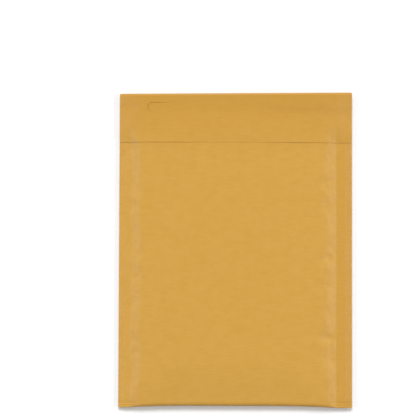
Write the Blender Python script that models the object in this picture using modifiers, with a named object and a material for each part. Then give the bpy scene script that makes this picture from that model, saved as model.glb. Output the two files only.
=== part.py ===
# A padded mailing envelope, empty, lying on its back with its flap folded shut.
# Metres, +Z up. X runs across the envelope and +Y points to the fold of the flap. The back panel
# rests on Z = 0, with the origin under the middle of the envelope.
#
# One sheet of kraft paper is folded at the bottom into a front and a back panel, and its flap is
# folded over the front. A pouch of bubble film lines both panels. Its sides are crushed flat
# between the papers, which makes the two side seams. A strip of adhesive under its release
# liner runs along the inside of the flap.

import math

import bmesh
import bpy

# Kraft paper
ENVELOPE_WIDTH = 0.226
ENVELOPE_LENGTH = 0.3065
FLAP_LENGTH = 0.0495
PAPER_THICKNESS = 0.0003
TOP_FOLD_RADIUS = 0.0009
FOLD_SKEW = 0.002

# Side seams, and the shoulders where the padding rises out of them
LEFT_SEAM = 0.011
RIGHT_SEAM = 0.015
LEFT_SHOULDER = 0.010
RIGHT_SHOULDER = 0.0135
SHOULDER_POWER = 2.4
SHOULDER_WAVE = 0.0012
SHOULDER_WAVE_PITCH = 0.052
SEAM_DROOP = 0.0018

# Bubble film, with its bubbles towards the paper
FILM_THICKNESS = 0.0003
BUBBLE_HEIGHT = 0.0037
BUBBLE_PITCH = 0.013

# The pocket inside the pouch, nearly flat when empty. The air left in it lifts the front panel
# to a flat crown.
POCKET_GAP = 0.0004
POCKET_PUFF = 0.0012
PUFF_RAMP = 0.035

# Mouth, under the flap, where the padding thins to a lip
MOUTH_SETBACK = 0.0085
LIP_TAPER = 0.011
LIP_POWER = 2
LIP_SHARE = 0.15

# Bottom fold, drawn in where it goes round the padding, more and more from its two ends
BOTTOM_NOSE = 0.006
BOTTOM_PULL = 0.002
BOTTOM_DRAW = 0.060
BOTTOM_TAPER = 0.025
BOTTOM_SHARE = 0.86

# Under the flap, measured from its free edge
FLAP_FLOAT = 0.0003
SPAN_POWER = 2
LINER_INSET = 0.0065
LINER_WIDTH = 0.0315
LINER_THICKNESS = 0.00015
ADHESIVE_INSET = 0.0085
ADHESIVE_WIDTH = 0.022
ADHESIVE_THICKNESS = 0.0002
ADHESIVE_END_INSET = 0.003

# Thumb tab, slit in the flap and in the liner's dry edge so that a finger can lift the liner
TAB_LENGTH = 0.0235
TAB_RADIUS = 0.0044
TAB_RETURN = 0.003
TAB_FROM_LEFT = 0.0275
TAB_OVER_LINER = 0.0006
SLIT_WIDTH = 0.0005
SLIT_REACH = 0.0004

# The gap between pieces that touch
CLEARANCE = 0.00025

# Heights from the middle plane of the envelope to the outer face of the paper
SEAM_HALF = FILM_THICKNESS + CLEARANCE + PAPER_THICKNESS
PAD_HALF = POCKET_GAP / 2 + FILM_THICKNESS + BUBBLE_HEIGHT + CLEARANCE + PAPER_THICKNESS

# Depths below the outer face of the flap, to the upper face of each strip and to the front panel
ADHESIVE_DEPTH = PAPER_THICKNESS + CLEARANCE
LINER_DEPTH = ADHESIVE_DEPTH + ADHESIVE_THICKNESS + CLEARANCE
PANEL_DEPTH = LINER_DEPTH + LINER_THICKNESS + CLEARANCE

# Places along the envelope and across it
TOP = ENVELOPE_LENGTH / 2
BOTTOM = -ENVELOPE_LENGTH / 2
MOUTH = TOP - MOUTH_SETBACK
FREE_EDGE = TOP - FLAP_LENGTH
LEFT_EDGE = -ENVELOPE_WIDTH / 2
RIGHT_EDGE = ENVELOPE_WIDTH / 2
LEFT_FOOT = LEFT_EDGE + LEFT_SEAM
RIGHT_FOOT = RIGHT_EDGE - RIGHT_SEAM
LEFT_CROWN = LEFT_FOOT + LEFT_SHOULDER
RIGHT_CROWN = RIGHT_FOOT - RIGHT_SHOULDER
PAD_BOTTOM = BOTTOM + BOTTOM_PULL + BOTTOM_NOSE


def between(a, b, t):
    return a + (b - a) * t


def share(value, start, end):
    return min(1.0, max(0.0, (value - start) / (end - start)))


def ease(value, start, end):
    t = share(value, start, end)
    return t * t * (3 - 2 * t)


def bulge(value, start, end, power):
    # Rises steeply from start and levels off at end, as padding does beside a seam.
    return 1 - (1 - share(value, start, end)) ** power


def divide(stops, counts):
    # Values from the first stop to the last, with so many steps between each two stops.
    values = [stops[0]]
    for start, end, count in zip(stops, stops[1:], counts):
        values += [between(start, end, (i + 1) / count) for i in range(count)]
    return values


# The padded body, as heights over the plane that the envelope lies on
def pad_rise(x, y):
    # 0 on the side seams and 1 over the padding. The width of the shoulders wanders a little.
    wave = SHOULDER_WAVE * math.sin(2 * math.pi * y / SHOULDER_WAVE_PITCH)
    left = bulge(x, LEFT_FOOT, LEFT_CROWN + wave, SHOULDER_POWER)
    right = bulge(x, RIGHT_FOOT, RIGHT_CROWN + wave, SHOULDER_POWER)
    return left * right


def length_share(y):
    # The padding thins to the lip at the mouth, and a little towards the bottom fold.
    lip = between(LIP_SHARE, 1, bulge(y, MOUTH, MOUTH - LIP_TAPER, LIP_POWER))
    return lip * between(BOTTOM_SHARE, 1, ease(y, BOTTOM, BOTTOM + BOTTOM_TAPER))


def half_height(x, y):
    return between(SEAM_HALF, PAD_HALF, pad_rise(x, y) * length_share(y))


def puff(x, y):
    across = ease(x, LEFT_CROWN, LEFT_CROWN + PUFF_RAMP) * ease(x, RIGHT_CROWN, RIGHT_CROWN - PUFF_RAMP)
    along = ease(y, PAD_BOTTOM, PAD_BOTTOM + PUFF_RAMP) * ease(y, MOUTH, MOUTH - PUFF_RAMP)
    return POCKET_PUFF * across * along


def liner_room(y):
    # The flap lies close on the front panel at its free edge, then rises over the release liner.
    return (PANEL_DEPTH - ADHESIVE_DEPTH) * ease(y, FREE_EDGE, FREE_EDGE + LINER_INSET - CLEARANCE)


def press(x, y):
    # The padding under the flap gives way by the thickness of what lies between the two papers.
    return liner_room(y) * pad_rise(x, y) * length_share(y)


def middle(x):
    # Height of the middle plane. The seams hang a little lower towards their cut edges.
    outside = max(share(x, LEFT_FOOT, LEFT_EDGE), share(x, RIGHT_FOOT, RIGHT_EDGE))
    return PAD_HALF - SEAM_DROOP * outside**2


def front_face(x, y):
    return middle(x) + half_height(x, y) + puff(x, y) - press(x, y)


def back_face(x, y):
    return middle(x) - half_height(x, y)


# The two folds and the flap
def bottom_fold(x):
    from_left = bulge(x, LEFT_FOOT, LEFT_FOOT + BOTTOM_DRAW, 2)
    from_right = bulge(x, RIGHT_FOOT, RIGHT_FOOT - BOTTOM_DRAW, 2)
    return BOTTOM + BOTTOM_PULL * from_left * from_right


def nose_start(x):
    return bottom_fold(x) + between(SEAM_HALF, BOTTOM_NOSE, pad_rise(x, BOTTOM))


def top_fold(x):
    # The flap was folded a little askew, so that its fold lies lower on the left.
    return TOP - FOLD_SKEW * share(x, RIGHT_EDGE, LEFT_EDGE)


def top_fold_start(x):
    return top_fold(x) - TOP_FOLD_RADIUS


def flap_on_pad(x, y):
    # The flap spans from its side edges to the padding.
    span = bulge(x, LEFT_EDGE, LEFT_CROWN, SPAN_POWER) * bulge(x, RIGHT_EDGE, RIGHT_CROWN, SPAN_POWER)
    half = between(SEAM_HALF + FLAP_FLOAT, PAD_HALF, span * length_share(y))
    return middle(x) + half + puff(x, y) - press(x, y) + ADHESIVE_DEPTH + liner_room(y)


def flap_face(x, y):
    # From its fold the flap climbs to the lip of the mouth, and then lies on the padding.
    to_fold = ease(y, MOUTH, top_fold_start(x))
    return between(flap_on_pad(x, min(y, MOUTH)), middle(x) + TOP_FOLD_RADIUS, to_fold)


# Stretches of the folded paper. Each gives the point at share t of its length.
def on_front(x, t):
    y = between(MOUTH, nose_start(x), t)
    return (x, y, front_face(x, y))


def round_bottom(x, t):
    angle = math.pi * t
    start = nose_start(x)
    y = between(start, bottom_fold(x), math.sin(angle))
    return (x, y, middle(x) + half_height(x, start) * math.cos(angle))


def on_back(x, t):
    y = between(nose_start(x), MOUTH, t)
    return (x, y, back_face(x, y))


def behind_mouth(x, t):
    # Past the mouth the back panel runs on alone to the fold of the flap.
    y = between(MOUTH, top_fold_start(x), t)
    at_fold = ease(y, MOUTH, top_fold_start(x))
    return (x, y, between(back_face(x, MOUTH), middle(x) - TOP_FOLD_RADIUS, at_fold))


def round_top(x, t):
    angle = math.pi * t
    y = between(top_fold_start(x), top_fold(x), math.sin(angle))
    return (x, y, middle(x) - TOP_FOLD_RADIUS * math.cos(angle))


def on_flap(x, t):
    y = between(top_fold_start(x), FREE_EDGE, t)
    return (x, y, flap_face(x, y))


def stretch(place, stops, counts):
    values = divide(stops, counts)
    length = stops[-1] - stops[0]
    return [(place, (value - stops[0]) / length) for value in values]


def paper_rows():
    pad = MOUTH - PAD_BOTTOM
    panel_under_flap = MOUTH - FREE_EDGE
    pressed = panel_under_flap - LINER_INSET
    front_stops = [0, LIP_TAPER, pressed, panel_under_flap, pad - PUFF_RAMP, pad]
    flap_stops = [0, MOUTH_SETBACK, MOUTH_SETBACK + LIP_TAPER, FLAP_LENGTH - LINER_INSET, FLAP_LENGTH]
    rows = stretch(on_front, front_stops, [4, 2, 2, 7, 3])
    rows += stretch(round_bottom, [0, 1], [8])[1:]
    rows += stretch(on_back, [0, PUFF_RAMP, pad - LIP_TAPER, pad], [3, 7, 3])[1:]
    rows += stretch(behind_mouth, [0, 1], [2])[1:]
    rows += stretch(round_top, [0, 1], [6])[1:]
    rows += stretch(on_flap, flap_stops, [3, 4, 2, 2])[1:]
    return rows


def paper_columns():
    # Close together on the shoulders and wide apart on the crown.
    stops = [LEFT_EDGE, LEFT_EDGE + ADHESIVE_END_INSET, LEFT_FOOT, LEFT_CROWN, LEFT_CROWN + PUFF_RAMP]
    stops += [RIGHT_CROWN - PUFF_RAMP, RIGHT_CROWN, RIGHT_FOOT, RIGHT_EDGE - ADHESIVE_END_INSET, RIGHT_EDGE]
    return divide(stops, [1, 2, 4, 3, 1, 3, 4, 2, 1])


# Modelling
def numbered_grid(column_count, row_count):
    # A flat sheet whose points know their column and row.
    sheet = bmesh.new()
    bmesh.ops.create_grid(sheet, x_segments=column_count - 1, y_segments=row_count - 1, size=0.5)
    column_of = sheet.verts.layers.int.new("column")
    row_of = sheet.verts.layers.int.new("row")
    for vert in sheet.verts:
        vert[column_of] = round((vert.co.x + 0.5) * (column_count - 1))
        vert[row_of] = round((vert.co.y + 0.5) * (row_count - 1))
    return sheet, column_of, row_of


def cut_to_triangles(sheet, column_of, row_of, is_shifted):
    # Even triangles, from rows of points of which every second one is shifted by half a step.
    for vert in sheet.verts:
        half_step = 0.5 if is_shifted(vert[column_of], vert[row_of]) else 0
        vert.co = (vert[column_of] + half_step, vert[row_of] * math.sqrt(0.75), 0)
    bmesh.ops.triangulate(sheet, faces=sheet.faces[:], quad_method="SHORT_EDGE")


def make_slab(column_count, row_count, place, is_shifted=None):
    # A closed slab. place(column, row, side) puts each point of its two faces, where side is -1
    # on the lower face and 1 on the upper one.
    slab, column_of, row_of = numbered_grid(column_count, row_count)
    if is_shifted:
        cut_to_triangles(slab, column_of, row_of, is_shifted)
    lower = slab.verts[:]
    bmesh.ops.extrude_face_region(slab, geom=slab.faces[:], use_keep_orig=True)
    upper = set(slab.verts) - set(lower)
    for vert in slab.verts:
        side = 1 if vert in upper else -1
        vert.co = place(vert[column_of], vert[row_of], side)
    bmesh.ops.recalc_face_normals(slab, faces=slab.faces[:])
    return slab


def add_object(name, shape, finish, collection):
    mesh = bpy.data.meshes.new(name)
    shape.to_mesh(mesh)
    shape.free()
    mesh.materials.append(finish)
    made = bpy.data.objects.new(name, mesh)
    collection.objects.link(made)
    return made


def add_cutter(name, shape, finish, collection):
    cutter = add_object(name, shape, finish, collection)
    cutter.hide_render = True
    cutter.display_type = "WIRE"
    return cutter


def thicken(sheet, thickness):
    # The sheet is modelled as its outer face.
    wall = sheet.modifiers.new("thickness", "SOLIDIFY")
    wall.thickness = thickness
    wall.offset = -1
    wall.use_even_offset = True


def cut(piece, cutter):
    opening = piece.modifiers.new(cutter.name, "BOOLEAN")
    opening.operation = "DIFFERENCE"
    opening.solver = "EXACT"
    opening.object = cutter


def make_paper(finish, collection):
    columns, rows = paper_columns(), paper_rows()
    sheet, column_of, row_of = numbered_grid(len(columns), len(rows))
    for vert in sheet.verts:
        place, t = rows[vert[row_of]]
        vert.co = place(columns[vert[column_of]], t)
    bmesh.ops.reverse_faces(sheet, faces=sheet.faces[:])
    paper = add_object("kraft_paper", sheet, finish, collection)
    thicken(paper, PAPER_THICKNESS)
    return paper


def make_strip(name, depth, thickness, inset, width, end_inset, finish, collection):
    # A strip under the flap, with its upper face so deep below the flap's outer face.
    columns = [min(max(x, LEFT_EDGE + end_inset), RIGHT_EDGE - end_inset) for x in paper_columns()]
    rows = divide([FREE_EDGE + inset, FREE_EDGE + inset + width], [7])
    sheet, column_of, row_of = numbered_grid(len(columns), len(rows))
    for vert in sheet.verts:
        x, y = columns[vert[column_of]], rows[vert[row_of]]
        vert.co = (x, y, flap_face(x, y) - depth)
    strip = add_object(name, sheet, finish, collection)
    thicken(strip, thickness)
    return strip


def paper_over(x, y, side):
    # Height of the paper's outer face over the middle plane, on one side.
    into_nose = share(y, bottom_fold(x) + PAPER_THICKNESS + CLEARANCE, nose_start(x))
    height = half_height(x, max(y, nose_start(x))) * math.sqrt(1 - (1 - into_nose) ** 2)
    if side > 0:
        height += puff(x, y) - press(x, y)
    return height


def bubble_top(x, y, side):
    # A bubble stands as high as the lowest paper over it lets it.
    reach = BUBBLE_PITCH / 4
    around = [(x, y), (x - reach, y), (x + reach, y), (x, y - reach), (x, min(y + reach, MOUTH))]
    lowest = min(paper_over(*place, side) for place in around)
    return lowest - PAPER_THICKNESS - CLEARANCE


def pocket_half(x, y, side):
    # Height of the pocket's wall over the middle plane, on one side.
    gap = POCKET_GAP / 2 * pad_rise(x, y)
    return gap + puff(x, y) if side > 0 else gap


def lining_columns():
    # The two crushed seams, and between them points at half the pitch of the bubbles.
    pad_width = RIGHT_FOOT - LEFT_FOOT
    steps = 2 * round(pad_width / BUBBLE_PITCH)
    return divide([LEFT_EDGE, LEFT_FOOT, RIGHT_FOOT, RIGHT_EDGE], [2, steps, 2]), pad_width / steps


def make_pouch(finish, collection):
    # The points make even triangles. Every second point of every second row is the top of a
    # bubble, and the others are the flat film between the bubbles. The lip has no bubbles.
    columns, step = lining_columns()
    row_count = round((MOUTH - BOTTOM) / (step * math.sqrt(0.75)))

    def on_pad(column):
        return LEFT_FOOT < columns[column] < RIGHT_FOOT

    def is_shifted(column, row):
        return row % 2 == 1 and on_pad(column)

    def is_bubble(column, row):
        in_row = row % 2 == 0 and 0 < row < row_count - 1
        return in_row and column % 2 == row // 2 % 2 and on_pad(column)

    def place(column, row, side):
        x = columns[column]
        if is_shifted(column, row):
            x += step / 2
        low = bottom_fold(x) + PAPER_THICKNESS + CLEARANCE + FILM_THICKNESS
        y = between(low, MOUTH, row / row_count)
        height = FILM_THICKNESS
        if on_pad(column):
            height += pocket_half(x, y, side)
        if is_bubble(column, row):
            height = max(height, bubble_top(x, y, side))
        return (x, y, middle(x) + side * height)

    pouch = make_slab(len(columns), row_count + 1, place, is_shifted)
    return add_object("bubble_lining", pouch, finish, collection)


def make_pocket(finish, collection):
    # The space inside the pouch, which runs out past its mouth.
    seal = BUBBLE_PITCH / 4
    stops = [LEFT_FOOT + seal, LEFT_CROWN, LEFT_CROWN + PUFF_RAMP]
    stops += [RIGHT_CROWN - PUFF_RAMP, RIGHT_CROWN, RIGHT_FOOT - seal]
    columns = divide(stops, [1, 4, 1, 4, 1])
    rows = divide([PAD_BOTTOM, PAD_BOTTOM + PUFF_RAMP, MOUTH - PUFF_RAMP, MOUTH, TOP], [4, 1, 4, 1])

    def place(column, row, side):
        x, y = columns[column], rows[row]
        return (x, y, middle(x) + side * pocket_half(x, y, side))

    return add_cutter("pocket", make_slab(len(columns), len(rows), place), finish, collection)


def tab_path():
    # The slit's middle line: along the liner's edge to the thumb end, round it and a little back.
    line = FREE_EDGE + LINER_INSET + LINER_WIDTH + TAB_OVER_LINER
    left = LEFT_EDGE + TAB_FROM_LEFT
    centre_x, centre_y = left + TAB_RADIUS, line - TAB_RADIUS
    points = [(x, line) for x in divide([left + TAB_LENGTH, centre_x], [5])]
    for angle in divide([math.pi / 2, 3 * math.pi / 2], [8])[1:]:
        points.append((centre_x + TAB_RADIUS * math.cos(angle), centre_y + TAB_RADIUS * math.sin(angle)))
    points.append((centre_x + TAB_RETURN, line - 2 * TAB_RADIUS))
    return points


def make_slit(name, depth, finish, collection):
    # A thin blade along the slit, at so deep below the flap's outer face that it cuts one sheet.
    path = tab_path()

    def place(column, edge, side):
        x, y = path[column]
        before, after = path[max(column - 1, 0)], path[min(column + 1, len(path) - 1)]
        along_x, along_y = after[0] - before[0], after[1] - before[1]
        offset = SLIT_WIDTH * (edge - 0.5) / math.hypot(along_x, along_y)
        x, y = x - along_y * offset, y + along_x * offset
        return (x, y, flap_face(x, y) - depth + side * SLIT_REACH)

    return add_cutter(name, make_slab(len(path), 2, place), finish, collection)


def make_material(name, colour, roughness, alpha=1.0):
    finish = bpy.data.materials.new(name)
    finish.use_nodes = True
    shader = finish.node_tree.nodes["Principled BSDF"]
    shader.inputs["Base Color"].default_value = (*colour, 1)
    shader.inputs["Roughness"].default_value = roughness
    shader.inputs["Metallic"].default_value = 0
    shader.inputs["Alpha"].default_value = alpha
    finish.diffuse_color = (*colour, alpha)
    return finish


def make_collection(name):
    collection = bpy.data.collections.new(name)
    bpy.context.scene.collection.children.link(collection)
    return collection


def shade_smooth(piece):
    piece.data.shade_smooth()
    piece.data.set_sharp_from_angle(angle=math.radians(35))


def main():
    for old in list(bpy.data.objects):
        bpy.data.objects.remove(old)
    parts = make_collection("Padded envelope")
    cutters = make_collection("Cutters")

    kraft = make_material("golden kraft paper", (0.658, 0.366, 0.080), 0.6)
    film = make_material("clear bubble film", (0.80, 0.83, 0.85), 0.2, 0.45)
    glue = make_material("hot-melt adhesive", (0.78, 0.72, 0.58), 0.35)
    release = make_material("siliconed release paper", (0.60, 0.55, 0.56), 0.4)

    paper = make_paper(kraft, parts)
    cut(paper, make_slit("tab_slit", PAPER_THICKNESS / 2, kraft, cutters))
    shade_smooth(paper)

    pouch = make_pouch(film, parts)
    cut(pouch, make_pocket(film, cutters))

    adhesive = make_strip(
        "adhesive_strip", ADHESIVE_DEPTH, ADHESIVE_THICKNESS, ADHESIVE_INSET, ADHESIVE_WIDTH,
        ADHESIVE_END_INSET, glue, parts,
    )
    shade_smooth(adhesive)
    liner = make_strip(
        "release_liner", LINER_DEPTH, LINER_THICKNESS, LINER_INSET, LINER_WIDTH, 0, release, parts
    )
    cut(liner, make_slit("liner_slit", LINER_DEPTH + LINER_THICKNESS / 2, release, cutters))
    shade_smooth(liner)


main()
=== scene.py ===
# A padded mailing envelope of golden kraft paper with a lining of bubble film. It is empty and
# lies on its back, with its flap folded shut. Metres, +Z up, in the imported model's own frame.

import math

import bmesh
import bpy
from mathutils import Matrix, Vector, noise


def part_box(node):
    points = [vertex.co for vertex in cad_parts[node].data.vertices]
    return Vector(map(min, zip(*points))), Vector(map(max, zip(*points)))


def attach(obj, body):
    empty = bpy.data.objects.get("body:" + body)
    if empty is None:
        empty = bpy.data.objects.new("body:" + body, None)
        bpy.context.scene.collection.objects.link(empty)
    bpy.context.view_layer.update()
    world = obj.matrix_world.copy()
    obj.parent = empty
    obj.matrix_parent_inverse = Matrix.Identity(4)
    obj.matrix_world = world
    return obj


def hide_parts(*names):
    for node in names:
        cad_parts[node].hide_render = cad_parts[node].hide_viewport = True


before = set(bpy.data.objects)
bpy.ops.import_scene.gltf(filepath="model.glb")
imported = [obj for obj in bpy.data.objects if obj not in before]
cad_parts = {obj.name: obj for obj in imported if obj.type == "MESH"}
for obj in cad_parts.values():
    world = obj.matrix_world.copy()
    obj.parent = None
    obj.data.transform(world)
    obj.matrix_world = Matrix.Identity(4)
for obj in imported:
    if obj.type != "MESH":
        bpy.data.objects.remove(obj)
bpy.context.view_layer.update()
mm = 0.001

paperLow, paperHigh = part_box("kraft_paper")
filmLow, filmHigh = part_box("bubble_lining")
linerLow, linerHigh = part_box("release_liner")
glueLow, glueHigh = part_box("adhesive_strip")

# The paper bag. Side seams, shoulders and folds as the photo shows them.
bag = {
    "paper": 0.3 * mm,
    "gap": 0.25 * mm,              # between pieces that touch
    "halfPad": 4.75 * mm,          # from the middle plane to the outer face, over the padding
    "halfSeam": 0.85 * mm,         # the same on the side seams
    "leftSeam": 8.5 * mm,
    "rightSeam": 15 * mm,
    "leftShoulder": 15.5 * mm,
    "rightShoulder": 17.5 * mm,
    "shoulderPower": 2.1,          # how steeply the padding leaves the seam
    "leftFootRound": 0.45,         # share of the shoulder over which its foot is rounded
    "rightFootRound": 0.03,
    "leftDroop": 1.4 * mm,         # the left seam slants down, the right one curls at its edge
    "leftDroopPower": 1.25,
    "rightDroop": 0.6 * mm,
    "rightDroopPower": 2.5,
    "puff": 1.2 * mm,              # air in the pocket
    "puffRamp": 35 * mm,
    "lipTaper": 11 * mm,           # the padding thins over this much towards the mouth
    "lipShare": 0.15,              # to this share of its thickness
    "nose": 6.5 * mm,
    "noseShape": 0.67,             # 1 is an ellipse, less is squarer
    "bottomPull": 1.6 * mm,
    "bottomDraw": 60 * mm,         # the pull grows over this much from both feet
    "bottomTaper": 25 * mm,        # it thins towards the bottom too
    "bottomShare": 0.78,
    "foldRadius": 0.9 * mm,
    "foldSkew": 2 * mm,
}

flap = {
    "linerInset": 6.5 * mm,        # from the flap's free edge to the liner
    "linerRoom": 0.50 * mm,        # what the liner and the adhesive lift the flap by
    "roomPower": 1.3,              # above 1, this room grows slowly from the free edge
    "stripGap": 0.05 * mm,         # between the flap, the adhesive and the liner
    "spanPower": 1.05,             # above 1, the flap hangs lower beside the padding
    "sideFloat": 0.1 * mm,         # clear of the side seams, away from the free edge
    "droop": 0.95 * mm,            # its side edges hang lower by this much
    "edgeGap": 0.08 * mm,          # to the panel, along the free edge
    "settle": 17 * mm,             # from the free edge to where the flap no longer follows the panel
    "spring": 0.5 * mm,            # the fold springs back, so the flap rises towards it
    "springPower": 1.5,
    "crest": 0.7 * mm,             # and a little more along its right half
    "crestFrom": (15 * mm, 131 * mm),    # x and y where the crest starts
    "crestTo": (45 * mm, 141 * mm),      # and where it is full
    "foldRound": 1.6 * mm,         # and then bends down to the fold over this much
    "edgeLift": 0.10 * mm,         # the free edge stands up a little at both ends
    "edgeCalm": 62 * mm,           # half the length along which it lies close
    "edgeSink": 0.75,              # closer by this share of the gap
    "edgeReach": 9 * mm,           # how far into the flap this is felt
    "calmAfter": 14 * mm,          # from here on the flap has its own, calmer relief
}

tab = {
    "length": 23.5 * mm,
    "radius": 4.4 * mm,
    "back": 3 * mm,                # the slit turns back this far at its thumb end
    "fromLeft": 27.5 * mm,         # from the side edge to the tab's thumb end
    "overLiner": 0.6 * mm,         # above the liner's upper edge
    "straightStep": 1.5 * mm,      # between the points of the slit's straight part
    "roundSteps": 14,              # and their number round the thumb end
    "slit": 0.26 * mm,             # its width
    "widest": (0.5, 0.66),         # between these shares of its length
    "slitEnd": 0.07 * mm,          # it is nearly closed where it stops
    "reach": 0.4 * mm,             # of the blade that cuts it, above and below the paper
    "sink": 0.18 * mm,             # the cut tab lies a little lower than the flap
}

# Places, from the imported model
left, right = filmLow[0], filmHigh[0]
bottom, top = paperLow[1], paperHigh[1]
mouth = filmHigh[1]
freeEdge = linerLow[1] - flap["linerInset"]
leftFoot, rightFoot = left + bag["leftSeam"], right - bag["rightSeam"]
leftCrown, rightCrown = leftFoot + bag["leftShoulder"], rightFoot - bag["rightShoulder"]
padBottom = bottom + bag["bottomPull"] + bag["nose"]
linerTop = linerHigh[1]


def between(a, b, t):
    return a + (b - a) * t


def share(value, start, end):
    return min(1.0, max(0.0, (value - start) / (end - start)))


def ease(value, start, end):
    t = share(value, start, end)
    return t * t * (3 - 2 * t)


def bulge(value, start, end, power):
    return 1 - (1 - share(value, start, end)) ** power


def softStart(t, rounding):
    # 0 to 1 as t is, but it sets off gently over the first part
    return (math.hypot(t, rounding) - rounding) / (math.hypot(1, rounding) - rounding)


def spread(stops, steps):
    # values from the first stop to the last, about so far apart between each two stops
    values = [stops[0]]
    for start, end, step in zip(stops, stops[1:], steps):
        count = max(1, round(abs(end - start) / step))
        values += [between(start, end, (i + 1) / count) for i in range(count)]
    return values


def wander(x, y, pitch, seed):
    # smooth noise from -1 to 1, with humps about this far apart
    return noise.noise(Vector((x / pitch, y / pitch, seed * 7.31)))


# How the paper gives way over the bubbles and creases where the padding bends. The creases run
# from one point to another, as x and y in mm, then their width and depth.
relief = {
    "bubblePitch": 13 * mm,
    "bubblePrint": 0.05 * mm,
    "printPatch": 40 * mm,         # the print is stronger and weaker in patches this wide
    "broadPitch": 48 * mm,
    "broad": 0.30 * mm,
    "broadSquash": 0.7,            # below 1, its humps are longer along the envelope
    "finePitch": 15 * mm,
    "fine": 0.12 * mm,
    "shoulderPitch": 21 * mm,
    "shoulderWander": 2.8 * mm,
    # places along a shoulder where it reaches further in: y, spread and reach in mm
    "leftReach": [(58, 9, 2.5), (-4, 6, 3.0), (-27, 6, 2.5), (-42, 7, 2.5), (-110, 9, 2.5)],
    "rightReach": [(67, 7, 3.0), (41, 7, 4.0), (-9.5, 5, 6.0), (-39, 7, 4.0), (-86, 5, 4.5),
                   (-103, 7, 3.0), (-132, 8, 2.5)],
    "pleatPitch": 13 * mm,
    "pleatSquash": 0.9,            # and these are longer across it
    "pleatDepth": 0.85 * mm,
    "back": 0.25 * mm,
    "creases": [
        (-101.5, 1.5, -91.5, -11.0, 1.5, 0.34),
        (-101.0, 66.0, -93.5, 54.0, 1.6, 0.22),
        (-101.0, -26.5, -94.0, -29.0, 1.4, 0.24),
        (-101.0, -41.0, -92.5, -44.5, 1.5, 0.26),
        (98.0, -7.0, 76.0, -11.0, 2.2, 0.16),
        (97.5, 68.0, 84.0, 64.0, 1.6, 0.26),
        (97.5, 42.0, 85.0, 39.0, 1.5, 0.24),
        (97.0, -38.0, 86.0, -35.0, 1.6, 0.26),
        (95.0, -85.0, 87.5, -88.5, 1.5, 0.18),
        (97.0, -102.0, 86.0, -99.5, 1.6, 0.24),
        (-112.5, -148.9, -84.0, -148.5, 0.8, 0.34),
        (-112.5, -151.3, -70.0, -150.8, 0.7, 0.26),
        (80.0, -148.5, 112.5, -148.9, 0.8, 0.34),
        (58.0, -150.8, 112.5, -151.3, 0.7, 0.26),
    ],
    "dents": [                     # on the flap alone, past the mouth
        (-113.0, 137.6, -98.0, 136.8, 3.5, 0.30),
    ],
}


def bubblePrint(x, y):
    # three waves at 60 degrees make the staggered humps of the film under the paper
    wave = 2 * math.pi / (relief["bubblePitch"] * math.sqrt(0.75))
    turns = (0, math.pi / 3, 2 * math.pi / 3)
    total = sum(math.cos(wave * (x * math.cos(a) + y * math.sin(a))) for a in turns)
    strength = 0.6 + 0.6 * wander(x, y, relief["printPatch"], 3)
    return relief["bubblePrint"] * total / 3 * strength


def creaseAt(x, y, creases):
    # a crease runs on past both its ends by this share of its length, fading out
    past = 0.3
    depth = 0
    for x1, y1, x2, y2, width, deep in creases:
        alongX, alongY = (x2 - x1) * mm, (y2 - y1) * mm
        offX, offY = x - x1 * mm, y - y1 * mm
        length = math.hypot(alongX, alongY)
        t = (offX * alongX + offY * alongY) / length**2
        across = abs(offX * alongY - offY * alongX) / length
        if -past < t < 1 + past and across < 4 * width * mm:
            ends = ease(t, -past, 0.2) * ease(t, 1 + past, 0.8)
            depth += deep * mm * ends * math.exp(-((across / (width * mm)) ** 2))
    return depth


def shoulderWave(x, y):
    side, places = (11, relief["rightReach"]) if x > 0 else (29, relief["leftReach"])
    wave = relief["shoulderWander"] * wander(0, y, relief["shoulderPitch"], side)
    return wave + sum(reach * mm * math.exp(-(((y - at * mm) / (wide * mm)) ** 2))
                      for at, wide, reach in places)


def padRise(x, y):
    wave = shoulderWave(x, y)
    fromLeft = softStart(share(x, leftFoot, leftCrown + wave), bag["leftFootRound"])
    fromRight = softStart(share(x, rightFoot, rightCrown - wave), bag["rightFootRound"])
    power = bag["shoulderPower"]
    return (1 - (1 - fromLeft) ** power) * (1 - (1 - fromRight) ** power)


def lengthShare(y):
    lip = between(bag["lipShare"], 1, bulge(y, mouth, mouth - bag["lipTaper"], 2))
    return lip * between(bag["bottomShare"], 1, ease(y, bottom, bottom + bag["bottomTaper"]))


def halfHeight(x, y):
    return between(bag["halfSeam"], bag["halfPad"], padRise(x, y) * lengthShare(y))


def puff(x, y):
    ramp = bag["puffRamp"]
    across = ease(x, leftCrown, leftCrown + ramp) * ease(x, rightCrown, rightCrown - ramp)
    along = ease(y, padBottom, padBottom + ramp) * ease(y, mouth, mouth - ramp)
    return bag["puff"] * across * along


def broadRelief(x, y):
    return relief["broad"] * wander(x, y * relief["broadSquash"], relief["broadPitch"], 1)


def reliefAt(x, y):
    # on the padding the paper is never quite flat
    pad = padRise(x, y)
    broad = broadRelief(x, y)
    fine = relief["fine"] * wander(x, y, relief["finePitch"], 2)
    slope = 4 * pad * (1 - pad)
    pleats = wander(x * relief["pleatSquash"], y, relief["pleatPitch"], 5)
    pleats += 0.5 * wander(x, y, relief["pleatPitch"] / 2, 6)
    pleats *= relief["pleatDepth"] * slope
    return pad * (broad + fine + bubblePrint(x, y)) + pleats - creaseAt(x, y, relief["creases"])


def linerRoom(y):
    grown = share(y, freeEdge, linerLow[1] - bag["gap"])
    return flap["linerRoom"] * grown ** flap["roomPower"]


def press(x, y):
    return linerRoom(y) * padRise(x, y) * lengthShare(y)


def middle(x):
    leftDroop = bag["leftDroop"] * share(x, leftFoot, left) ** bag["leftDroopPower"]
    rightDroop = bag["rightDroop"] * share(x, rightFoot, right) ** bag["rightDroopPower"]
    return bag["halfPad"] - leftDroop - rightDroop


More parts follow.
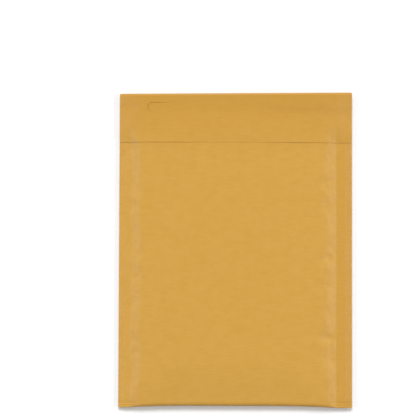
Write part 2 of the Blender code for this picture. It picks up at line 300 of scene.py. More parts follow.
def frontFace(x, y):
    # the liner presses it smooth under the flap
    smooth = ease(y, freeEdge, linerLow[1])
    return middle(x) + halfHeight(x, y) + puff(x, y) - press(x, y) + reliefAt(x, y) * (1 - smooth)


def backRelief(x, y):
    # it lies on the floor, so its relief only goes inwards
    pad = padRise(x, y)
    folds = wander(x, y, relief["finePitch"], 8) + wander(x, y, relief["broadPitch"], 9)
    return relief["back"] * pad * (1 + folds) / 2 + pad * (relief["bubblePrint"] - bubblePrint(x, y))


def backFace(x, y):
    return middle(x) - halfHeight(x, y) + max(0, backRelief(x, y))


def bottomFold(x):
    fromLeft = bulge(x, leftFoot, leftFoot + bag["bottomDraw"], 2)
    fromRight = bulge(x, rightFoot, rightFoot - bag["bottomDraw"], 2)
    return bottom + bag["bottomPull"] * fromLeft * fromRight


def noseStart(x):
    return bottomFold(x) + between(bag["halfSeam"], bag["nose"], padRise(x, bottom))


def topFold(x):
    return top - bag["foldSkew"] * share(x, right, left)


def topFoldStart(x):
    return topFold(x) - bag["foldRadius"]


def edgeLift(x, y):
    # the free edge lies close in the middle and stands up towards its ends
    ends = ease(abs(x), 0.25 * flap["edgeCalm"], flap["edgeCalm"])
    calm = -flap["edgeSink"] * bag["gap"]
    return between(calm, flap["edgeLift"], ends) * ease(y, freeEdge + flap["edgeReach"], freeEdge)


def flapOnPad(x, y):
    # beside the padding the flap bends down to its side edges in a long, flat S
    span = (ease(x, left, leftCrown) * ease(x, right, rightCrown)) ** flap["spanPower"]
    away = share(y, freeEdge, freeEdge + flap["settle"])
    rise = max(between(padRise(x, y), span, away), padRise(x, y))
    half = between(bag["halfSeam"] + flap["sideFloat"], bag["halfPad"], rise * lengthShare(y))
    half -= flap["sideFloat"] * (1 - rise) * (1 - away)
    gap = between(flap["edgeGap"], bag["gap"], away)
    rest = puff(x, y) - press(x, y) + bag["paper"] + gap + linerRoom(y)
    side = max(share(x, leftFoot, left), share(x, rightFoot, right))
    level = between(middle(x), bag["halfPad"] - flap["droop"] * side ** 2, away)
    return level + half + rest + flapRelief(x, y) + edgeLift(x, y)


def flapRelief(x, y):
    # close to the panel's at its free edge, and calmer than it towards the fold
    away = ease(y, freeEdge, freeEdge + flap["calmAfter"])
    own = relief["fine"] * wander(x, y, relief["finePitch"], 12)
    broad = broadRelief(x, y) * padRise(x, y)
    return between(reliefAt(x, y), broad + own, away)


def flapFace(x, y):
    # it lies on the padding, bridges the lip of the mouth and bends down to the fold
    thick = mouth - bag["lipTaper"]
    foldStart = topFoldStart(x)
    bend = share(y, foldStart - flap["foldRound"], foldStart)
    toFold = 1 - math.sqrt(1 - bend**2)
    (fromX, fromY), (toX, toY) = flap["crestFrom"], flap["crestTo"]
    spring = flap["spring"] * share(y, thick, foldStart) ** flap["springPower"]
    crest = flap["crest"] * ease(x, fromX, toX) * ease(y, fromY, toY)
    risen = flapOnPad(x, min(y, thick)) + spring
    risen += crest - creaseAt(x, y, relief["dents"])
    return between(risen, middle(x) + bag["foldRadius"], toFold)


# Stretches of the folded sheet. Each gives the point at share t of its length.
def onFront(x, t):
    y = between(mouth, noseStart(x), t)
    return x, y, frontFace(x, y)


def roundBottom(x, t):
    start = noseStart(x)
    along, up = math.sin(math.pi * t), math.cos(math.pi * t)
    y = between(start, bottomFold(x), along ** bag["noseShape"])
    half = halfHeight(x, start)
    lift = reliefAt(x, y) * max(0, 1 - 2 * t)
    return x, y, middle(x) + half * math.copysign(abs(up) ** bag["noseShape"], up) + lift


def onBack(x, t):
    y = between(noseStart(x), mouth, t)
    return x, y, backFace(x, y)


def behindMouth(x, t):
    y = between(mouth, topFoldStart(x), t)
    atFold = ease(y, mouth, topFoldStart(x))
    return x, y, between(backFace(x, mouth), middle(x) - bag["foldRadius"], atFold)


def roundTop(x, t):
    y = between(topFoldStart(x), topFold(x), math.sin(math.pi * t))
    return x, y, middle(x) - bag["foldRadius"] * math.cos(math.pi * t)


def onFlap(x, t):
    y = between(topFoldStart(x), freeEdge, t)
    return x, y, flapFace(x, y)


# How far apart the sheet's lines lie, across it and then along it
mesh = {
    "seam": 1.2 * mm,
    "shoulder": 0.85 * mm,
    "crown": 2.3 * mm,
    "pastCrown": 2 * mm,           # the shoulder's lines go on past its crown
    "front": 1.7 * mm,
    "hem": 0.5 * mm,
    "hidden": 3.5 * mm,            # on the front panel under the flap
    "margin": 4 * mm,              # length of the hem, and of the front rows under the flap
    "back": 6 * mm,
    "flap": 1.5 * mm,
    "bend": 0.4 * mm,
    "pastBend": 0.6 * mm,          # the fine rows go on past the bend
    "nose": 20,                    # number of steps round the bottom
    "lip": 3,                      # behind the mouth
    "fold": 8,                     # and round the top fold
}

crimp = {
    "pitch": 1.95 * mm,
    "first": 1.46 * mm,            # from the side edge to the first groove
    "depth": 0.13 * mm,
    "band": 8.2 * mm,              # the ribs reach this far in from the side edge
}


def sheetColumns():
    # six lines to a rib, with one in each groove
    step = crimp["pitch"] / 6
    first = crimp["first"] - 4 * step
    ribs = [0] + [first + i * step for i in range(int((crimp["band"] - first) / step) + 1)]
    stops = [left + ribs[-1], leftFoot, leftCrown + mesh["pastCrown"]]
    stops += [rightCrown - mesh["pastCrown"], rightFoot, right - ribs[-1]]
    steps = [mesh[name] for name in ("seam", "shoulder", "crown", "shoulder", "seam")]
    leftRibs = [left + rib for rib in ribs[:-1]]
    rightRibs = [right - rib for rib in ribs[-2::-1]]
    return leftRibs + spread(stops, steps) + rightRibs


def stretch(place, stops, steps):
    length = stops[-1] - stops[0]
    return [(place, (value - stops[0]) / length) for value in spread(stops, steps)]


def sheetRows():
    pad = mouth - padBottom
    underFlap = mouth - freeEdge
    stops = [0, underFlap - mesh["margin"], pad - mesh["margin"], pad]
    rows = stretch(onFront, stops, [mesh["hidden"], mesh["front"], mesh["hem"]])
    rows += stretch(roundBottom, [0, 1], [1 / mesh["nose"]])[1:]
    rows += stretch(onBack, [0, pad], [mesh["back"]])[1:]
    rows += stretch(behindMouth, [0, 1], [1 / mesh["lip"]])[1:]
    rows += stretch(roundTop, [0, 1], [1 / mesh["fold"]])[1:]
    bend = flap["foldRound"] + mesh["pastBend"]
    rows += stretch(onFlap, [0, bend, top - freeEdge], [mesh["bend"], mesh["flap"]])[1:]
    return rows


# Small tools
def addNode(tree, kind, inputs=None, **settings):
    node = tree.nodes.new(kind)
    for name, value in settings.items():
        setattr(node, name, value)
    for socket, value in (inputs or {}).items():
        if isinstance(value, bpy.types.NodeSocket):
            tree.links.new(value, node.inputs[socket])
        else:
            node.inputs[socket].default_value = value
    return node


def calculate(tree, operation, *values):
    # the result of one Math node
    return addNode(tree, "ShaderNodeMath", dict(enumerate(values)), operation=operation).outputs[0]


def growing(tree, value, start, end, most):
    # 0 where the value is at its start, and the most where it is at its end
    ramp = addNode(tree, "ShaderNodeMapRange", {
        "Value": value, "From Min": start, "From Max": end, "To Min": 0.0, "To Max": most})
    return ramp.outputs["Result"]


def noiseNode(tree, place, scale, detail, roughness=0.5):
    noisy = addNode(tree, "ShaderNodeTexNoise", {
        "Vector": place, "Scale": scale, "Detail": detail, "Roughness": roughness})
    return noisy.outputs["Fac"]


def mixColours(tree, factor, first, second):
    mixed = addNode(tree, "ShaderNodeMix", {"Factor": factor, 6: first, 7: second}, data_type="RGBA")
    return mixed.outputs[2]


def attribute(tree, name):
    named = addNode(tree, "GeometryNodeInputNamedAttribute", {"Name": name}, data_type="FLOAT")
    return named.outputs[0]


def linear(hexColour):
    parts = [int(hexColour[i:i + 2], 16) / 255 for i in (1, 3, 5)]
    return [c / 12.92 if c <= 0.04045 else ((c + 0.055) / 1.055) ** 2.4 for c in parts] + [1]


def addPiece(name, shape, material):
    made = bpy.data.meshes.new(name)
    shape.to_mesh(made)
    shape.free()
    made.materials.append(material)
    piece = bpy.data.objects.new(name, made)
    bpy.context.scene.collection.objects.link(piece)
    return piece


def makeGrid(columnCount, rowCount, place):
    # a sheet of points, place(column, row) giving each one
    sheet = bmesh.new()
    bmesh.ops.create_grid(sheet, x_segments=columnCount - 1, y_segments=rowCount - 1, size=0.5)
    for vert in sheet.verts:
        column = round((vert.co.x + 0.5) * (columnCount - 1))
        row = round((vert.co.y + 0.5) * (rowCount - 1))
        vert.co = place(column, row)
    return sheet


def thicken(piece, thickness):
    wall = piece.modifiers.new("thickness", "SOLIDIFY")
    wall.thickness = thickness
    wall.offset = -1
    wall.use_even_offset = True


def cut(piece, blade):
    opening = piece.modifiers.new("slit", "BOOLEAN")
    opening.operation = "DIFFERENCE"
    opening.solver = "EXACT"
    opening.object = blade


sharpAngle = math.radians(38)      # edges that turn more than this stay sharp


def settle(piece):
    # turns the piece and its modifiers into a plain mesh
    graph = bpy.context.evaluated_depsgraph_get()
    plain = bpy.data.meshes.new_from_object(piece.evaluated_get(graph))
    piece.modifiers.clear()
    old = piece.data
    piece.data = plain
    bpy.data.meshes.remove(old)
    plain.shade_smooth()
    plain.set_sharp_from_angle(angle=sharpAngle)


def newTree(name, sockets):
    # a Geometry Nodes tree with one geometry in and out, and named inputs for its sizes
    tree = bpy.data.node_groups.new(name, "GeometryNodeTree")
    tree.interface.new_socket("Geometry", in_out="INPUT", socket_type="NodeSocketGeometry")
    for label, kind in sockets:
        tree.interface.new_socket(label, in_out="INPUT", socket_type="NodeSocket" + kind)
    tree.interface.new_socket("Geometry", in_out="OUTPUT", socket_type="NodeSocketGeometry")
    return tree, tree.nodes.new("NodeGroupInput").outputs, tree.nodes.new("NodeGroupOutput").inputs


def addTree(piece, tree, values):
    modifier = piece.modifiers.new(tree.name, "NODES")
    modifier.node_group = tree
    for item in tree.interface.items_tree:
        if item.in_out == "INPUT" and item.name in values:
            modifier[item.identifier] = values[item.name]


# Materials
def newMaterial(name):
    material = bpy.data.materials.new(name)
    material.use_nodes = True
    tree = material.node_tree
    return material, tree, tree.nodes["Principled BSDF"]


kraftLook = {
    "colour": "#D8A549",
    "pale": "#E1B260",
    "dark": "#BA8332",
    # painted shade: this darker tint stands in for less light on the flap end and the wide right seam
    "deep": "#CC973D",
    "flapShadeMost": 0.70,             # painted shade: the flap end and the wide right seam are painted a shade darker
    "flapFrom": 92 * mm,
    "flapTo": 153 * mm,
    # painted shade on the wide right seam, this much of the darker tint
    "seamShadeMost": 0.36,
    "seamBlend": 0.3 * mm,
    "cloud": 9 * mm,               # broad unevenness of the dye
    "cloudShare": 0.24,
    "streakWidth": 0.9 * mm,       # fibres lie along the web, which ran across the envelope
    "streakLength": 13 * mm,
    "streakShare": 0.20,
    "fleck": 1.6 * mm,
    "fleckShare": 0.28,
    "fibre": 0.35 * mm,            # real fibres are 0.03 mm wide, too fine to show, so drawn wider
    "roughness": 0.43,
    "ior": 1.5,
}


def kraftPaper():
    # Machine-glazed kraft: dyed golden, long fibres drawn out along the web, a slight gloss.
    look = kraftLook
    material, tree, shader = newMaterial("machine-glazed golden kraft paper")
    place = addNode(tree, "ShaderNodeTexCoord").outputs["Object"]
    drawn = addNode(tree, "ShaderNodeMapping", {"Vector": place, "Scale": (
        1 / look["streakLength"], 1 / look["streakWidth"], 1 / look["streakWidth"])})
    streaks = noiseNode(tree, drawn.outputs["Vector"], 1.0, 3.0, 0.6)
    clouds = noiseNode(tree, place, 1 / look["cloud"], 4.0, 0.55)
    flecks = noiseNode(tree, place, 1 / look["fleck"], 2.0, 0.7)
    fibres = noiseNode(tree, place, 1 / look["fibre"], 3.0, 0.6)

    cloudShare = growing(tree, clouds, 0.35, 0.65, look["cloudShare"])
    streakShare = growing(tree, streaks, 0.35, 0.75, look["streakShare"])
    fleckShare = growing(tree, flecks, 0.60, 0.80, look["fleckShare"])
    tinted = mixColours(tree, cloudShare, linear(look["colour"]), linear(look["pale"]))
    axes = addNode(tree, "ShaderNodeSeparateXYZ", {"Vector": place}).outputs
    # painted shade: the flap is painted darker from y 92 mm up to the fold, where it tilts away from
    # the light
    flapShadeShare = growing(tree, axes["Y"], look["flapFrom"], look["flapTo"], look["flapShadeMost"])
    blend = look["seamBlend"]
    # painted shade: the wide right seam is painted darker from its foot outwards, where it turns away
    # from the light
    seamShadeShare = growing(tree, axes["X"], rightFoot - blend, rightFoot + blend, look["seamShadeMost"])
    # painted shade: the darker tint is laid wherever either painted shade reaches
    paintedShadeShare = calculate(tree, "MAXIMUM", flapShadeShare, seamShadeShare)
    paintedShaded = mixColours(tree, paintedShadeShare, tinted, linear(look["deep"]))
    streaked = mixColours(tree, streakShare, paintedShaded, linear(look["dark"]))
    flecked = mixColours(tree, fleckShare, streaked, linear(look["dark"]))
    tree.links.new(flecked, shader.inputs["Base Color"])

    coarse = addNode(tree, "ShaderNodeBump", {
        "Strength": 0.10, "Distance": 0.3 * mm, "Height": streaks})
    fine = addNode(tree, "ShaderNodeBump", {
        "Strength": 0.12, "Distance": 0.1 * mm, "Height": fibres, "Normal": coarse.outputs["Normal"]})
    tree.links.new(fine.outputs["Normal"], shader.inputs["Normal"])
    shader.inputs["Roughness"].default_value = look["roughness"]
    shader.inputs["IOR"].default_value = look["ior"]
    return material


def bubbleFilm():
    # Blown polyethylene film: clear and glossy, cloudy where layers overlap.
    material, tree, shader = newMaterial("clear polyethylene bubble film")
    place = addNode(tree, "ShaderNodeTexCoord").outputs["Object"]
    haze = noiseNode(tree, place, 1 / (9 * mm), 3.0)
    rough = addNode(tree, "ShaderNodeMapRange", {"Value": haze, "To Min": 0.10, "To Max": 0.34})
    tree.links.new(rough.outputs["Result"], shader.inputs["Roughness"])
    wrinkles = addNode(tree, "ShaderNodeBump", {
        "Strength": 0.2, "Distance": 0.2 * mm, "Height": haze})
    tree.links.new(wrinkles.outputs["Normal"], shader.inputs["Normal"])
    shader.inputs["Base Color"].default_value = linear("#E6ECEE")
    shader.inputs["IOR"].default_value = 1.51
    shader.inputs["Transmission Weight"].default_value = 0.75
    return material


def hotMelt():
    # Pressure-sensitive hot-melt adhesive: amber, smooth and sticky, with coating streaks.
    material, tree, shader = newMaterial("hot-melt adhesive")
    place = addNode(tree, "ShaderNodeTexCoord").outputs["Object"]
    # the streaks are about 17 mm long and 1 mm wide
    drawn = addNode(tree, "ShaderNodeMapping", {"Vector": place, "Scale": (60, 900, 60)})
    coat = noiseNode(tree, drawn.outputs["Vector"], 1.0, 2.0)
    tint = mixColours(tree, coat, linear("#E7D7AE"), linear("#D9C48F"))
    tree.links.new(tint, shader.inputs["Base Color"])
    ridges = addNode(tree, "ShaderNodeBump", {
        "Strength": 0.2, "Distance": 0.1 * mm, "Height": coat})
    tree.links.new(ridges.outputs["Normal"], shader.inputs["Normal"])
    shader.inputs["Roughness"].default_value = 0.22
    return material


def releasePaper():
    # Silicone-coated glassine: pale lilac grey, smooth, with a soft shine.
    material, tree, shader = newMaterial("silicone-coated release paper")
    place = addNode(tree, "ShaderNodeTexCoord").outputs["Object"]
    cloud = noiseNode(tree, place, 1 / (6 * mm), 4.0)
    tint = mixColours(tree, cloud, linear("#CFC7C7"), linear("#C5BCC0"))
    tree.links.new(tint, shader.inputs["Base Color"])
    shader.inputs["Roughness"].default_value = 0.36
    return material


# Geometry Nodes
def crimpTree():
    # The heat-seal bars press fine ribs into the side seams, along their whole length.
    tree, given, out = newTree("seam crimps", [
        ("Pitch", "Float"), ("First", "Float"), ("Depth", "Float"), ("Band", "Float"),
        ("Paper", "Material")])
    edge = attribute(tree, "fromEdge")
    sealed = attribute(tree, "sealed")
    offset = calculate(tree, "SUBTRACT", edge, given["First"])
    turns = calculate(tree, "DIVIDE", offset, given["Pitch"])
    wave = calculate(tree, "SINE", calculate(tree, "MULTIPLY", turns, math.pi))
    arch = calculate(tree, "ABSOLUTE", wave)
    both = calculate(tree, "MULTIPLY_ADD", arch, 2.0, -1.0)
    rib = calculate(tree, "MULTIPLY", both, given["Depth"])
    inner = calculate(tree, "SUBTRACT", given["Band"], given["Pitch"])
    fade = addNode(tree, "ShaderNodeMapRange", {
        "Value": edge, "From Min": inner, "From Max": given["Band"], "To Min": 1.0, "To Max": 0.0})
    faded = calculate(tree, "MULTIPLY", rib, fade.outputs["Result"])
    height = calculate(tree, "MULTIPLY", faded, sealed)
    shift = addNode(tree, "ShaderNodeCombineXYZ", {"Z": height})
    moved = addNode(tree, "GeometryNodeSetPosition", {
        "Geometry": given["Geometry"], "Offset": shift.outputs[0]})
    real = addNode(tree, "GeometryNodeRealizeInstances", {"Geometry": moved.outputs[0]})
    done = addNode(tree, "GeometryNodeSetMaterial", {
        "Geometry": real.outputs[0], "Material": given["Paper"]})
    tree.links.new(done.outputs[0], out["Geometry"])
    return tree


def bubbleTree():
    # A closed dome on every point, as wide as a bubble and as high as the point's own height.
    tree, given, out = newTree("bubbles", [
        ("Diameter", "Float"), ("Sides", "Int"), ("Rings", "Int"), ("Film", "Material"),
        ("Sheet", "Object")])
    ball = addNode(tree, "GeometryNodeMeshUVSphere", {
        "Segments": given["Sides"], "Rings": given["Rings"]})
    spot = addNode(tree, "GeometryNodeInputPosition")
    parts = addNode(tree, "ShaderNodeSeparateXYZ", {0: spot.outputs[0]}).outputs
    above = calculate(tree, "MAXIMUM", parts["Z"], 0.0)
    flat = addNode(tree, "ShaderNodeCombineXYZ", {"X": parts["X"], "Y": parts["Y"], "Z": above})
    dome = addNode(tree, "GeometryNodeSetPosition", {
        "Geometry": ball.outputs["Mesh"], "Position": flat.outputs[0]})
    radius = calculate(tree, "MULTIPLY", given["Diameter"], 0.5)
    size = addNode(tree, "ShaderNodeCombineXYZ", {
        "X": radius, "Y": radius, "Z": attribute(tree, "high")})
    turn = addNode(tree, "ShaderNodeCombineXYZ", {"X": attribute(tree, "turned")})
    rotation = addNode(tree, "FunctionNodeEulerToRotation", {0: turn.outputs[0]})
    bubbles = addNode(tree, "GeometryNodeInstanceOnPoints", {
        "Points": given["Geometry"], "Instance": dome.outputs[0], "Rotation": rotation.outputs[0],
        "Scale": size.outputs[0]})
    sheet = addNode(tree, "GeometryNodeObjectInfo", {"Object": given["Sheet"]})
    joined = addNode(tree, "GeometryNodeJoinGeometry")
    tree.links.new(bubbles.outputs[0], joined.inputs[0])
    tree.links.new(sheet.outputs["Geometry"], joined.inputs[0])
    real = addNode(tree, "GeometryNodeRealizeInstances", {"Geometry": joined.outputs[0]})
    done = addNode(tree, "GeometryNodeSetMaterial", {
        "Geometry": real.outputs[0], "Material": given["Film"]})
    tree.links.new(done.outputs[0], out["Geometry"])
    return tree


# The kraft sheet
def tabPath():
    line = linerTop + tab["overLiner"]
    start = left + tab["fromLeft"]
    centreX, centreY = start + tab["radius"], line - tab["radius"]
    points = [(x, line) for x in spread([start + tab["length"], centreX], [tab["straightStep"]])]
    for i in range(1, tab["roundSteps"] + 1):
        angle = math.pi * (0.5 + i / tab["roundSteps"])
        x = centreX + tab["radius"] * math.cos(angle)
        y = centreY + tab["radius"] * math.sin(angle)
        points.append((x, y))
    points.append((centreX + tab["back"], line - 2 * tab["radius"]))
    return points


def onTab(x, y):
    # how far a point of the flap is into the tab, 0 outside it
    line = linerTop + tab["overLiner"]
    start = left + tab["fromLeft"]
    centreX, centreY = start + tab["radius"], line - tab["radius"]
    if not line - 2 * tab["radius"] < y < line or x > start + tab["length"]:
        return 0
    if x < centreX and math.hypot(x - centreX, y - centreY) > tab["radius"]:
        return 0
    low = share(y, line - 2 * tab["radius"], line)
    return share(x, start + tab["length"], start) * low


def tabBlade(below):
    # a thin blade along the slit, so far below the flap's outer face
    path = tabPath()
    fullFrom, fullTo = tab["widest"]
    blade = bmesh.new()
    rings = []
    for i, (x, y) in enumerate(path):
        before, after = path[max(i - 1, 0)], path[min(i + 1, len(path) - 1)]
        alongX, alongY = after[0] - before[0], after[1] - before[1]
        along = i / (len(path) - 1)
        opening = ease(along, 0, fullFrom) * ease(along, 1, fullTo)
        width = between(tab["slitEnd"], tab["slit"], opening)
        size = width / 2 / math.hypot(alongX, alongY)
        ring = []
        for side, up in ((-1, -1), (1, -1), (1, 1), (-1, 1)):
            atX, atY = x - alongY * size * side, y + alongX * size * side
            atZ = flapFace(atX, atY) - below + up * tab["reach"]
            ring.append(blade.verts.new((atX, atY, atZ)))
        rings.append(ring)
    for ring, after in zip(rings, rings[1:]):
        for i in range(4):
            blade.faces.new((ring[i], ring[i - 1], after[i - 1], after[i]))
    blade.faces.new(rings[0])
    blade.faces.new(reversed(rings[-1]))
    bmesh.ops.recalc_face_normals(blade, faces=blade.faces[:])
    made = bpy.data.meshes.new("tabBlade")
    blade.to_mesh(made)
    blade.free()
    return bpy.data.objects.new("tabBlade", made)


def cutTab(piece, below):
    # slits the piece and makes it plain
    blade = tabBlade(below)
    bpy.context.scene.collection.objects.link(blade)
    cut(piece, blade)
    settle(piece)
    bpy.data.objects.remove(blade)


def sealedShare(row):
    # crimps are pressed into both panels and fade out over this much at the folds
    fade = 5 * mm
    onStretch, t = row
    if onStretch in (onFront, onBack):
        away = min(t, 1 - t) * (mouth - padBottom)
        return ease(away, 0, fade)
    return 0


def makeSheet(material):
    columns, rows = sheetColumns(), sheetRows()

    def place(column, row):
        onStretch, t = rows[row]
        return onStretch(columns[column], t)

    sheet = makeGrid(len(columns), len(rows), place)
    bmesh.ops.reverse_faces(sheet, faces=sheet.faces[:])
    fromEdge = sheet.verts.layers.float.new("fromEdge")
    sealed = sheet.verts.layers.float.new("sealed")
    shares = [sealedShare(row) for row in rows]
    for index, vert in enumerate(sheet.verts):
        vert[fromEdge] = min(vert.co.x - left, right - vert.co.x)
        vert[sealed] = shares[index // len(columns)]
    piece = addPiece("kraft_wrap", sheet, material)
    addTree(piece, crimpTree(), {
        "Pitch": crimp["pitch"], "First": crimp["first"], "Depth": crimp["depth"],
        "Band": crimp["band"], "Paper": material})
    thicken(piece, bag["paper"])
    cutTab(piece, bag["paper"] / 2)
    for vert in piece.data.vertices:
        x, y, z = vert.co
        depth = onTab(x, y)
        if depth and z > middle(x) + halfHeight(x, y) + bag["gap"]:
            vert.co.z -= tab["sink"] * depth
    print("kraft sheet:", len(piece.data.polygons), "faces")
    return piece


# Strips under the flap
strips = {
    "glue": 0.1 * mm,              # thickness
    "liner": 0.1 * mm,
    "rows": 1.6 * mm,
}


def makeStrip(name, box, below, thickness, material):
    low, high = box
    columns = [min(max(x, low[0]), high[0]) for x in sheetColumns()]
    columns = sorted(set(round(x, 6) for x in columns))
    rows = spread([low[1], high[1]], [strips["rows"]])

    def place(column, row):
        x, y = columns[column], rows[row]
        return x, y, flapFace(x, y) - below

    strip = addPiece(name, makeGrid(len(columns), len(rows), place), material)
    thicken(strip, thickness)
    return strip


# The lining of bubble film
film = {
    "thickness": 0.12 * mm,
    "outer": 1.3,                  # thicknesses from the middle plane to its outer face
    "halfGap": 0.2 * mm,           # and this much more over the padding
    "bend": 1.2 * mm,              # length of the bend round the bottom
    "frontEnd": 0.49,              # share of the film that is front
    "backStart": 0.51,             # and where the back starts
    "columns": [2.75 * mm, 2 * mm, 6 * mm, 2 * mm, 3.75 * mm],
    "rows": 50,                    # number of rows on the front, and on the back
    "bendRows": 6,
    "bubble": 10 * mm,
    "probe": 4.2 * mm,             # a bubble's room is measured this far from its middle
    "onNose": 1 * mm,              # bubbles may reach this far onto the bottom's nose
    "pitch": 13 * mm,
    "sides": 10,
    "rings": 6,
    "least": 0.7 * mm,             # flatter bubbles are left out
    "clear": 0.35 * mm,            # from the paper's inner face
    "cornerInset": 6 * mm,         # in the seams it ends above the creases of the hem
}


def filmHalf(x, y, side):
    # outer face of the flat film over the middle plane
    rise = padRise(x, y)
    air = puff(x, y) if side > 0 else 0
    return film["thickness"] * film["outer"] + film["halfGap"] * rise + air


def filmPoint(x, t):
    # the film runs from the mouth down the front, round the bottom and up the back
    low = bottomFold(x) + bag["paper"] + bag["gap"] + film["thickness"]
    low += film["cornerInset"] * (1 - padRise(x, bottom))
    bend, end, start = film["bend"], film["frontEnd"], film["backStart"]
    if t < end:
        y = between(mouth, low + bend, t / end)
        return x, y, middle(x) + filmHalf(x, y, 1)
    if t > start:
        y = between(low + bend, mouth, (t - start) / (1 - start))
        return x, y, middle(x) - filmHalf(x, y, -1)
    turn = math.pi * (t - end) / (start - end)
    y = low + bend * (1 - math.sin(turn))
    return x, y, middle(x) + filmHalf(x, low + bend, 1) * math.cos(turn)


def bubbleRoom(x, y, side):
    # how high a bubble can stand under the lowest paper round it
    lowest = math.inf
    for step in range(8):
        angle = step * math.pi / 4
        atX = x + film["probe"] * math.cos(angle)
        atY = y + film["probe"] * math.sin(angle)
        if not noseStart(x) - film["onNose"] < atY < mouth:
            return 0
        face = frontFace(atX, atY) if side > 0 else backFace(atX, atY)
        lowest = min(lowest, side * (face - middle(atX)))
    return lowest - bag["paper"] - film["clear"] - filmHalf(x, y, side)


def makeFilm(material):
    columns = spread([left, leftFoot, leftCrown, rightCrown, rightFoot, right], film["columns"])
    end, start = film["frontEnd"], film["backStart"]
    steps = [end / film["rows"], (start - end) / film["bendRows"], (1 - start) / film["rows"]]
    shares = spread([0, end, start, 1], steps)

    def place(column, row):
        return filmPoint(columns[column], shares[row])

    sheet = makeGrid(len(columns), len(shares), place)
    bmesh.ops.reverse_faces(sheet, faces=sheet.faces[:])
    flat = addPiece("filmSheet", sheet, material)
    thicken(flat, film["thickness"])
    return flat


def bubbleSpots():
    # the middle of every bubble, with its height and the side it is on, in staggered rows
    spots = bmesh.new()
    high = spots.verts.layers.float.new("high")
    turned = spots.verts.layers.float.new("turned")
    across, along = film["pitch"], film["pitch"] * math.sqrt(0.75)
    rowCount = int((mouth - bottom) / along)
    columnCount = int((rightFoot - leftFoot) / across) + 1
    firstX, lastX = leftFoot + film["bubble"] * 0.55, rightFoot - film["bubble"] * 0.5
    for row in range(rowCount):
        y = mouth - film["pitch"] / 2 - row * along
        for column in range(columnCount):
            x = firstX + (column + row % 2 / 2) * across
            if x > lastX:
                continue
            for side in (1, -1):
                room = bubbleRoom(x, y, side)
                if room > film["least"]:
                    seat = filmHalf(x, y, side) - film["thickness"] / 2
                    spot = spots.verts.new((x, y, middle(x) + side * seat))
                    spot[high] = room + film["thickness"] / 2
                    spot[turned] = 0 if side > 0 else math.pi
    return spots


def makeLining(material):
    flat = makeFilm(material)
    lining = addPiece("bubble_pouch", bubbleSpots(), material)
    addTree(lining, bubbleTree(), {
        "Diameter": film["bubble"], "Sides": film["sides"], "Rings": film["rings"],
        "Film": material, "Sheet": flat})
    settle(lining)
    bpy.data.objects.remove(flat)
    print("bubble lining:", len(lining.data.polygons), "faces")
    return lining


# The studio
studio = {
    "distance": 2.0,               # metres from the camera to its aim
    "elevation": 86.76,            # from the floor
    "roll": 0.198,
    "lens": 178.04,
    "aim": (-26.85 * mm, 39.98 * mm, 5 * mm),
    "ambient": 0.11,
    # each softbox: direction from the object, elevation, distance, width, height and watts
    "boxes": {
        "top softbox": ((-0.05, 1), 53, 11.0, 5.4, 4.1, 965.0),
        "right softbox": ((1, 0), 42, 1.9, 1.6, 0.6, 10.0),
        "left softbox": ((-1, 0), 42, 1.9, 1.6, 0.6, 8.0),
    },
    "floorTone": 0.86,
    "floorGlow": 0.18,             # only the camera sees it
    "floorHalf": 4,                # metres from its middle to its edge
}


def makeCamera():
    camera = bpy.data.objects.new("camera", bpy.data.cameras.new("camera"))
    bpy.context.scene.collection.objects.link(camera)
    camera.data.sensor_width = 36
    camera.data.lens = studio["lens"]
    camera.data.clip_end = 20
    tilt = math.radians(90 - studio["elevation"])
    turn = Matrix.Rotation(tilt, 4, "X") @ Matrix.Rotation(math.radians(studio["roll"]), 4, "Z")
    back = Vector((0, -math.sin(tilt), math.cos(tilt)))
    place = Vector(studio["aim"]) + back * studio["distance"]
    camera.matrix_world = Matrix.Translation(place) @ turn
    bpy.context.scene.camera = camera


def makeSoftbox(name, heading, elevation, distance, width, height, power):
    lamp = bpy.data.lights.new(name, "AREA")
    lamp.shape = "RECTANGLE"
    lamp.size = width
    lamp.size_y = height
    lamp.energy = power
    box = bpy.data.objects.new(name, lamp)
    bpy.context.scene.collection.objects.link(box)
    rise = math.radians(elevation)
    away = Vector((heading[0] * math.cos(rise), heading[1] * math.cos(rise), math.sin(rise)))
    box.location = away * distance
    box.rotation_euler = away.to_track_quat("Z", "Y").to_euler()
    box.visible_glossy = heading[1] == 0       # only the side ones shine in the paper


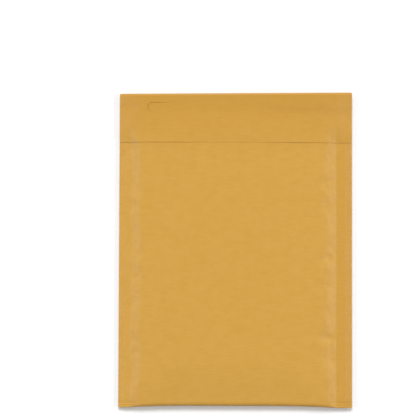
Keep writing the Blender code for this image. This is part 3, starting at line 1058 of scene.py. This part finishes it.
def makeWorld():
    world = bpy.data.worlds.new("white studio")
    world.use_nodes = True
    tree = world.node_tree
    path = addNode(tree, "ShaderNodeLightPath").outputs
    # seen straight or through the film it is white, and it lights things far less
    sharp = calculate(tree, "MAXIMUM", path["Is Camera Ray"], path["Is Transmission Ray"])
    strength = addNode(tree, "ShaderNodeMapRange", {
        "Value": sharp, "To Min": studio["ambient"], "To Max": 1.0})
    tree.links.new(strength.outputs["Result"], tree.nodes["Background"].inputs["Strength"])
    tree.nodes["Background"].inputs["Color"].default_value = (1, 1, 1, 1)
    bpy.context.scene.world = world


def makeFloor():
    shape = bmesh.new()
    bmesh.ops.create_grid(shape, x_segments=1, y_segments=1, size=studio["floorHalf"])
    # Matt white background paper, as studios roll out.
    material, tree, shader = newMaterial("white paper sweep")
    path = addNode(tree, "ShaderNodeLightPath").outputs
    seen = calculate(tree, "MULTIPLY", path["Is Camera Ray"], studio["floorGlow"])
    shader.inputs["Base Color"].default_value = [studio["floorTone"]] * 3 + [1]
    shader.inputs["Roughness"].default_value = 1.0
    shader.inputs["Specular IOR Level"].default_value = 0.0
    shader.inputs["Emission Color"].default_value = (1, 1, 1, 1)
    tree.links.new(seen, shader.inputs["Emission Strength"])
    floor = addPiece("floor", shape, material)


def finishPiece(piece, node):
    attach(piece, "root")
    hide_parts(node)


def main():
    makeCamera()
    makeWorld()
    for name, settings in studio["boxes"].items():
        makeSoftbox(name, *settings)
    makeFloor()
    print("studio done")

    sheet = makeSheet(kraftPaper())
    finishPiece(sheet, "kraft_paper")

    glueBelow = bag["paper"] + flap["stripGap"]
    glueBox = (glueLow, glueHigh)
    glue = makeStrip("glue_strip", glueBox, glueBelow, strips["glue"], hotMelt())
    settle(glue)
    finishPiece(glue, "adhesive_strip")

    linerBelow = glueBelow + strips["glue"] + flap["stripGap"]
    linerBox = (linerLow, linerHigh)
    liner = makeStrip("liner_strip", linerBox, linerBelow, strips["liner"], releasePaper())
    cutTab(liner, linerBelow + strips["liner"] / 2)
    finishPiece(liner, "release_liner")
    print("strips done")

    lining = makeLining(bubbleFilm())
    finishPiece(lining, "bubble_lining")

    view = bpy.context.scene.view_settings
    view.view_transform = "Standard"


main()
